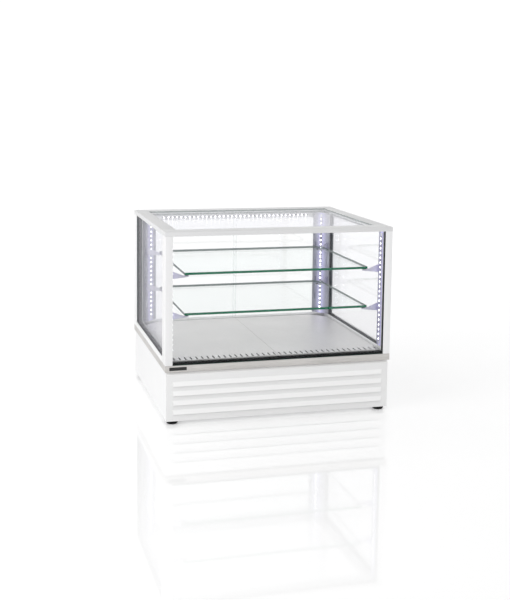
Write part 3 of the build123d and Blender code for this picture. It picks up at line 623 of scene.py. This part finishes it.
# Each bar of a digit: its place across and up in half digits, and whether it lies flat.
BARS = {"a": (0.0, 1.0, True), "g": (0.0, 0.0, True), "d": (0.0, -1.0, True), "b": (1.0, 0.5, False),
        "c": (1.0, -0.5, False), "e": (-1.0, -0.5, False), "f": (-1.0, 0.5, False)}
DIGITS = {"6": "acdefg", "5": "acdfg"}
WINDOW = Vector((0.026, 0.0, 0.018))     # recess in the controller's face
WINDOW_AT = Vector((-0.006, -0.0008, 0.002))
PANE_GAP = Vector((0.0001, 0.0, 0.0001))
PANE_T = 0.00025
DIGIT_W, DIGIT_H, BAR = 0.0060, 0.0110, 0.0011
DIGIT_PITCH = 0.0092
BAR_BACK, BAR_FRONT = 0.0002, 0.00045    # a bar stands a little proud of the pane
SHARPEST = 0.0001                        # rounding of the pane's and the bars' edges


def display():
    """Dark pane in the controller's recess with two lit seven-bar digits, read from the back."""
    low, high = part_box("thermostat_controller")
    face = Vector(((low.x + high.x) / 2, high.y, (low.z + high.z) / 2))
    middle = face + WINDOW_AT
    half = WINDOW / 2 - PANE_GAP
    pane = bmesh.new()
    block(pane, middle - half, middle + half + Vector((0, PANE_T, 0)), SHARPEST, 1)
    add_piece("display_pane", pane, "window", "cabinet")
    for place, digit in enumerate("65"):
        bars = bmesh.new()
        centre = middle + Vector((DIGIT_PITCH * (0.5 - place), 0.0, 0.0))
        for bar in DIGITS[digit]:
            across, up, lying = BARS[bar]
            at = centre + Vector((-across * DIGIT_W / 2, 0.0, up * DIGIT_H / 2))
            half_length = (DIGIT_W if lying else DIGIT_H / 2) / 2 - BAR * 0.6
            reach = Vector((half_length, 0, BAR / 2)) if lying else Vector((BAR / 2, 0, half_length))
            block(bars, at - reach + Vector((0, BAR_BACK, 0)), at + reach + Vector((0, BAR_FRONT, 0)),
                  SHARPEST, 1)
        add_piece(f"display_digit_{place}", bars, "digit", "cabinet")


# ---------------- scene ----------------

FLOOR_REACH = 9.0
FLOOR_GLOW = 0.20                        # lifts the floor to the white of the room behind it
SKY_LOW, SKY_HIGH = 1.07, 0.64           # the room is brighter at the horizon than overhead
HORIZON_END, OVERHEAD_START = 0.05, 0.9
KEY_PLACE, KEY_SIZE, KEY_WATTS = Vector((-2.8, -1.2, 1.6)), 2.0, 22.0
KEY_AIM = Vector((0, 0, 0.3))
CLEAR_SURFACES = 24                      # a line of sight crosses up to 12 faces of glass


def studio():
    """White room: a glossy white floor, a graded sky and one soft light at the left."""
    studio_floor()
    sky()
    soft_light("key_light", KEY_PLACE, KEY_AIM, KEY_SIZE, KEY_WATTS)
    bpy.context.scene.view_settings.view_transform = "Standard"
    bpy.context.scene.cycles.transparent_max_bounces = CLEAR_SURFACES


def studio_floor():
    """Faintly glowing, polished white floor that mirrors the case."""
    bm = bmesh.new()
    bmesh.ops.create_grid(bm, x_segments=1, y_segments=1, size=FLOOR_REACH)
    mesh = bpy.data.meshes.new("studio_floor")
    bm.to_mesh(mesh)
    bm.free()
    shade = Shade("studio_white", Specular_IOR_Level=0.5, Emission_Strength=FLOOR_GLOW,
                  Emission_Color=grey(1.0))
    drift = shade.noise(0.6, 2.0)
    shade.set("Base Color", shade.ramp(drift, (0.3, grey(0.93)), (0.7, grey(0.95))))
    shade.set("Roughness", drift * 0.02 + 0.03)
    mesh.materials.append(shade.material)
    floor = bpy.data.objects.new("studio_floor", mesh)
    bpy.context.scene.collection.objects.link(floor)


def sky():
    """World light that fades from the horizon to overhead."""
    world = bpy.data.worlds.new("studio")
    world.use_nodes = True
    tree = world.node_tree
    direction = tree.nodes.new("ShaderNodeTexCoord")
    parts = tree.nodes.new("ShaderNodeSeparateXYZ")
    fade = tree.nodes.new("ShaderNodeValToRGB")
    set_stops(fade.color_ramp, ((HORIZON_END, grey(SKY_LOW)), (OVERHEAD_START, grey(SKY_HIGH))))
    tree.links.new(direction.outputs["Generated"], parts.inputs[0])
    tree.links.new(parts.outputs["Z"], fade.inputs[0])
    tree.links.new(fade.outputs[0], tree.nodes["Background"].inputs[0])
    bpy.context.scene.world = world


def soft_light(name, place, aim, size, watts):
    """Square soft box at a place, turned to face its aim."""
    light = bpy.data.lights.new(name, "AREA")
    light.shape = "SQUARE"
    light.size = size
    light.energy = watts
    lamp = bpy.data.objects.new(name, light)
    lamp.location = place
    lamp.rotation_euler = (aim - place).to_track_quat("-Z", "Y").to_euler()
    bpy.context.scene.collection.objects.link(lamp)


CAMERA_PLACE = Vector((-0.9990, -3.6124, 1.0908))
CAMERA_PITCH, CAMERA_YAW, CAMERA_ROLL = 6.426, 15.369, 0.694    # degrees
CAMERA_LENS = 62.87                      # millimetres
CAMERA_DROP = -0.15                      # shift of the lens, which keeps uprights near parallel


def camera():
    """View of the front from a little above and to the left."""
    data = bpy.data.cameras.new("studio_camera")
    data.lens = CAMERA_LENS
    data.shift_y = CAMERA_DROP
    eye = bpy.data.objects.new("studio_camera", data)
    eye.location = CAMERA_PLACE
    turn = Matrix.Rotation(math.radians(-CAMERA_YAW), 3, "Z")
    turn = turn @ Matrix.Rotation(math.radians(90.0 - CAMERA_PITCH), 3, "X")
    turn = turn @ Matrix.Rotation(math.radians(CAMERA_ROLL), 3, "Z")
    eye.rotation_euler = turn.to_euler()
    bpy.context.scene.collection.objects.link(eye)
    bpy.context.scene.camera = eye


finish_nodes()
soften_frame()
light_strips()
display()
studio()
camera()
